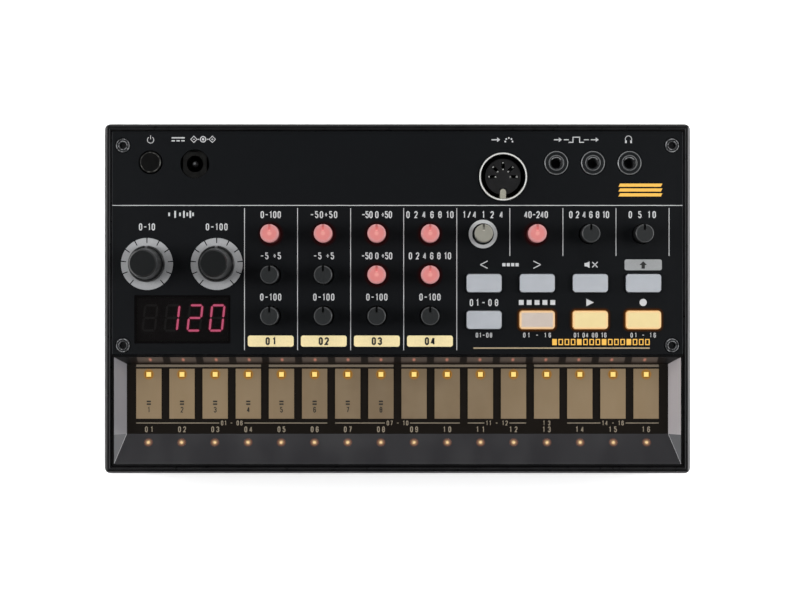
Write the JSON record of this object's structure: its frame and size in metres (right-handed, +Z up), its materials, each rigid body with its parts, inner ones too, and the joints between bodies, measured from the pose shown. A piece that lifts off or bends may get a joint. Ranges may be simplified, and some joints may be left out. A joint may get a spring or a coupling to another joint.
{
  "type": "drum machine",
  "caption": "Small flat drum machine with large dials, rows of small knobs, rubber buttons, a digit display, touch keys and top sockets.",
  "frame": {"origin": "middle of the footprint, on the surface that the feet stand on", "axes": "+X to the player's right along the width, +Y away from the player to the socket side, +Z up"},
  "size_m": [0.1934, 0.1154, 0.045],
  "materials": {
    "case_plastic": "fine matt moulded black plastic",
    "panel_plastic": "satin black panel",
    "bezel_plastic": "glossy dark grey plastic",
    "tray_board": "black board lacquer",
    "contact_print": "brownish beige contact print",
    "lamp_yellow": "lit yellow light",
    "window": "dark smoked red window",
    "display_black": "black display face",
    "display_lit": "pink-red lit segments",
    "board_green": "green circuit board",
    "lamp_chip": "clear chip",
    "pot_plastic": "dark green moulded housing",
    "pot_metal": "plated steel can",
    "rubber_mat": "grey silicone",
    "socket_plastic": "black socket plastic",
    "plated_metal": "nickel plated metal",
    "collar_plastic": "black collar with bright edges",
    "cell_wrap": "plain blue cell wrap",
    "speaker_metal": "black painted frame",
    "cone_paper": "dark cone paper",
    "wire_red": "red insulation",
    "foot_rubber": "dark rubber",
    "screw_steel": "blackened steel",
    "dial_plastic": "semi-gloss black plastic",
    "shaft_metal": "plain steel shaft",
    "knob_black": "semi-gloss black plastic",
    "knob_lit": "translucent plastic lit pink-red from inside",
    "knob_clear": "translucent grey plastic, unlit",
    "button_grey": "light blue-grey translucent rubber",
    "button_amber": "translucent rubber lit warm yellow",
    "button_glow": "translucent rubber, lit orange at its edges",
    "button_black": "black plastic"
  },
  "bodies": {
    "case": {"top_case": "case_plastic", "bottom_case": "case_plastic", "control_panel": "panel_plastic", "key_bezel": "bezel_plastic", "touch_board": "tray_board", "touch_pads": "contact_print", "step_lights": "lamp_yellow", "display_window": "window", "display_module": "display_black", "display_segments": "display_lit", "main_board": "board_green", "socket_board": "board_green", "board_lights": "lamp_chip", "small_pot_bodies": "pot_plastic", "dial_pot_bodies": "pot_metal", "button_mat": "rubber_mat", "power_switch": "socket_plastic", "power_inlet": "socket_plastic", "din_shell": "plated_metal", "din_insert": "socket_plastic", "socket_contacts": "plated_metal", "jack_bodies": "socket_plastic", "jack_collars": "collar_plastic", "battery_cells": "cell_wrap", "battery_contacts": "plated_metal", "speaker_frame": "speaker_metal", "internal_wires": "wire_red", "feet": "foot_rubber", "screws": "screw_steel"},
    "voice1_knob_top_body": {"voice1_knob_top": "knob_lit"},
    "voice1_knob_mid_body": {"voice1_knob_mid": "knob_black"},
    "voice1_knob_low_body": {"voice1_knob_low": "knob_black"},
    "voice2_knob_top_body": {"voice2_knob_top": "knob_lit"},
    "voice2_knob_mid_body": {"voice2_knob_mid": "knob_black"},
    "voice2_knob_low_body": {"voice2_knob_low": "knob_black"},
    "voice3_knob_top_body": {"voice3_knob_top": "knob_lit"},
    "voice3_knob_mid_body": {"voice3_knob_mid": "knob_lit"},
    "voice3_knob_low_body": {"voice3_knob_low": "knob_black"},
    "voice4_knob_top_body": {"voice4_knob_top": "knob_lit"},
    "voice4_knob_mid_body": {"voice4_knob_mid": "knob_lit"},
    "voice4_knob_low_body": {"voice4_knob_low": "knob_black"},
    "sample_knob_body": {"sample_knob": "knob_clear"},
    "tempo_knob_body": {"tempo_knob": "knob_lit"},
    "level_knob_body": {"level_knob": "knob_black"},
    "volume_knob_body": {"volume_knob": "knob_black"},
    "left_dial_body": {"left_dial": "dial_plastic", "left_dial_shaft": "shaft_metal"},
    "right_dial_body": {"right_dial": "dial_plastic", "right_dial_shaft": "shaft_metal"},
    "button_left_body": {"button_left": "button_grey"},
    "button_right_body": {"button_right": "button_grey"},
    "button_mute_body": {"button_mute": "button_grey"},
    "button_shift_body": {"button_shift": "button_grey"},
    "button_memory_body": {"button_memory": "button_grey"},
    "button_step_body": {"button_step": "button_glow"},
    "button_play_body": {"button_play": "button_amber"},
    "button_record_body": {"button_record": "button_amber"},
    "power_button_body": {"power_button": "button_black"},
    "battery_cover_body": {"battery_cover": "case_plastic"},
    "speaker_cone_body": {"speaker_cone": "cone_paper"}
  },
  "joints": [
    {"name": "voice1_knob_top_turn", "type": "hinge", "parent": "case", "child": "voice1_knob_top_body", "pos_m": [-0.0419, 0.0214, 0.0332], "axis": [0, 0, 1], "range_deg": [-140, 140]},
    {"name": "voice1_knob_mid_turn", "type": "hinge", "parent": "case", "child": "voice1_knob_mid_body", "pos_m": [-0.0419, 0.00788, 0.0332], "axis": [0, 0, 1], "range_deg": [-140, 140]},
    {"name": "voice1_knob_low_turn", "type": "hinge", "parent": "case", "child": "voice1_knob_low_body", "pos_m": [-0.0419, -0.00565, 0.0332], "axis": [0, 0, 1], "range_deg": [-140, 140]},
    {"name": "voice2_knob_top_turn", "type": "hinge", "parent": "case", "child": "voice2_knob_top_body", "pos_m": [-0.02436, 0.0214, 0.0332], "axis": [0, 0, 1], "range_deg": [-140, 140]},
    {"name": "voice2_knob_mid_turn", "type": "hinge", "parent": "case", "child": "voice2_knob_mid_body", "pos_m": [-0.02436, 0.00788, 0.0332], "axis": [0, 0, 1], "range_deg": [-140, 140]},
    {"name": "voice2_knob_low_turn", "type": "hinge", "parent": "case", "child": "voice2_knob_low_body", "pos_m": [-0.02436, -0.00565, 0.0332], "axis": [0, 0, 1], "range_deg": [-140, 140]},
    {"name": "voice3_knob_top_turn", "type": "hinge", "parent": "case", "child": "voice3_knob_top_body", "pos_m": [-0.00682, 0.0214, 0.0332], "axis": [0, 0, 1], "range_deg": [-140, 140]},
    {"name": "voice3_knob_mid_turn", "type": "hinge", "parent": "case", "child": "voice3_knob_mid_body", "pos_m": [-0.00682, 0.00788, 0.0332], "axis": [0, 0, 1], "range_deg": [-140, 140]},
    {"name": "voice3_knob_low_turn", "type": "hinge", "parent": "case", "child": "voice3_knob_low_body", "pos_m": [-0.00682, -0.00565, 0.0332], "axis": [0, 0, 1], "range_deg": [-140, 140]},
    {"name": "voice4_knob_top_turn", "type": "hinge", "parent": "case", "child": "voice4_knob_top_body", "pos_m": [0.01072, 0.0214, 0.0332], "axis": [0, 0, 1], "range_deg": [-140, 140]},
    {"name": "voice4_knob_mid_turn", "type": "hinge", "parent": "case", "child": "voice4_knob_mid_body", "pos_m": [0.01072, 0.00788, 0.0332], "axis": [0, 0, 1], "range_deg": [-140, 140]},
    {"name": "voice4_knob_low_turn", "type": "hinge", "parent": "case", "child": "voice4_knob_low_body", "pos_m": [0.01072, -0.00565, 0.0332], "axis": [0, 0, 1], "range_deg": [-140, 140]},
    {"name": "sample_knob_turn", "type": "hinge", "parent": "case", "child": "sample_knob_body", "pos_m": [0.02826, 0.0214, 0.0332], "axis": [0, 0, 1], "range_deg": [-140, 140]},
    {"name": "tempo_knob_turn", "type": "hinge", "parent": "case", "child": "tempo_knob_body", "pos_m": [0.0458, 0.0214, 0.0332], "axis": [0, 0, 1], "range_deg": [-140, 140]},
    {"name": "level_knob_turn", "type": "hinge", "parent": "case", "child": "level_knob_body", "pos_m": [0.06334, 0.0214, 0.0332], "axis": [0, 0, 1], "range_deg": [-140, 140]},
    {"name": "volume_knob_turn", "type": "hinge", "parent": "case", "child": "volume_knob_body", "pos_m": [0.08088, 0.0214, 0.0332], "axis": [0, 0, 1], "range_deg": [-140, 140]},
    {"name": "left_dial_turn", "type": "hinge", "parent": "case", "child": "left_dial_body", "pos_m": [-0.0828, 0.0115, 0.0332], "axis": [0, 0, 1], "range_deg": [-140, 140]},
    {"name": "right_dial_turn", "type": "hinge", "parent": "case", "child": "right_dial_body", "pos_m": [-0.05975, 0.0115, 0.0332], "axis": [0, 0, 1], "range_deg": [-140, 140]},
    {"name": "button_left_press", "type": "slide", "parent": "case", "child": "button_left_body", "axis": [0, 0, -1], "range_m": [0, 0.0008], "stiffness_N_per_m": 250, "springref_m": -0.002},
    {"name": "button_right_press", "type": "slide", "parent": "case", "child": "button_right_body", "axis": [0, 0, -1], "range_m": [0, 0.0008], "stiffness_N_per_m": 250, "springref_m": -0.002},
    {"name": "button_mute_press", "type": "slide", "parent": "case", "child": "button_mute_body", "axis": [0, 0, -1], "range_m": [0, 0.0008], "stiffness_N_per_m": 250, "springref_m": -0.002},
    {"name": "button_shift_press", "type": "slide", "parent": "case", "child": "button_shift_body", "axis": [0, 0, -1], "range_m": [0, 0.0008], "stiffness_N_per_m": 250, "springref_m": -0.002},
    {"name": "button_memory_press", "type": "slide", "parent": "case", "child": "button_memory_body", "axis": [0, 0, -1], "range_m": [0, 0.0008], "stiffness_N_per_m": 250, "springref_m": -0.002},
    {"name": "button_step_press", "type": "slide", "parent": "case", "child": "button_step_body", "axis": [0, 0, -1], "range_m": [0, 0.0008], "stiffness_N_per_m": 250, "springref_m": -0.002},
    {"name": "button_play_press", "type": "slide", "parent": "case", "child": "button_play_body", "axis": [0, 0, -1], "range_m": [0, 0.0008], "stiffness_N_per_m": 250, "springref_m": -0.002},
    {"name": "button_record_press", "type": "slide", "parent": "case", "child": "button_record_body", "axis": [0, 0, -1], "range_m": [0, 0.0008], "stiffness_N_per_m": 250, "springref_m": -0.002},
    {"name": "power_button_press", "type": "slide", "parent": "case", "child": "power_button_body", "axis": [0, 0, -1], "range_m": [0, 0.001], "stiffness_N_per_m": 300, "springref_m": -0.003},
    {"name": "battery_cover_slide", "type": "slide", "parent": "case", "child": "battery_cover_body", "axis": [0, 1, 0], "range_m": [0, 0.044]},
    {"name": "speaker_cone_travel", "type": "slide", "parent": "case", "child": "speaker_cone_body", "axis": [0, 0, 1], "range_m": [-0.0004, 0.0004], "stiffness_N_per_m": 1500}
  ]
}
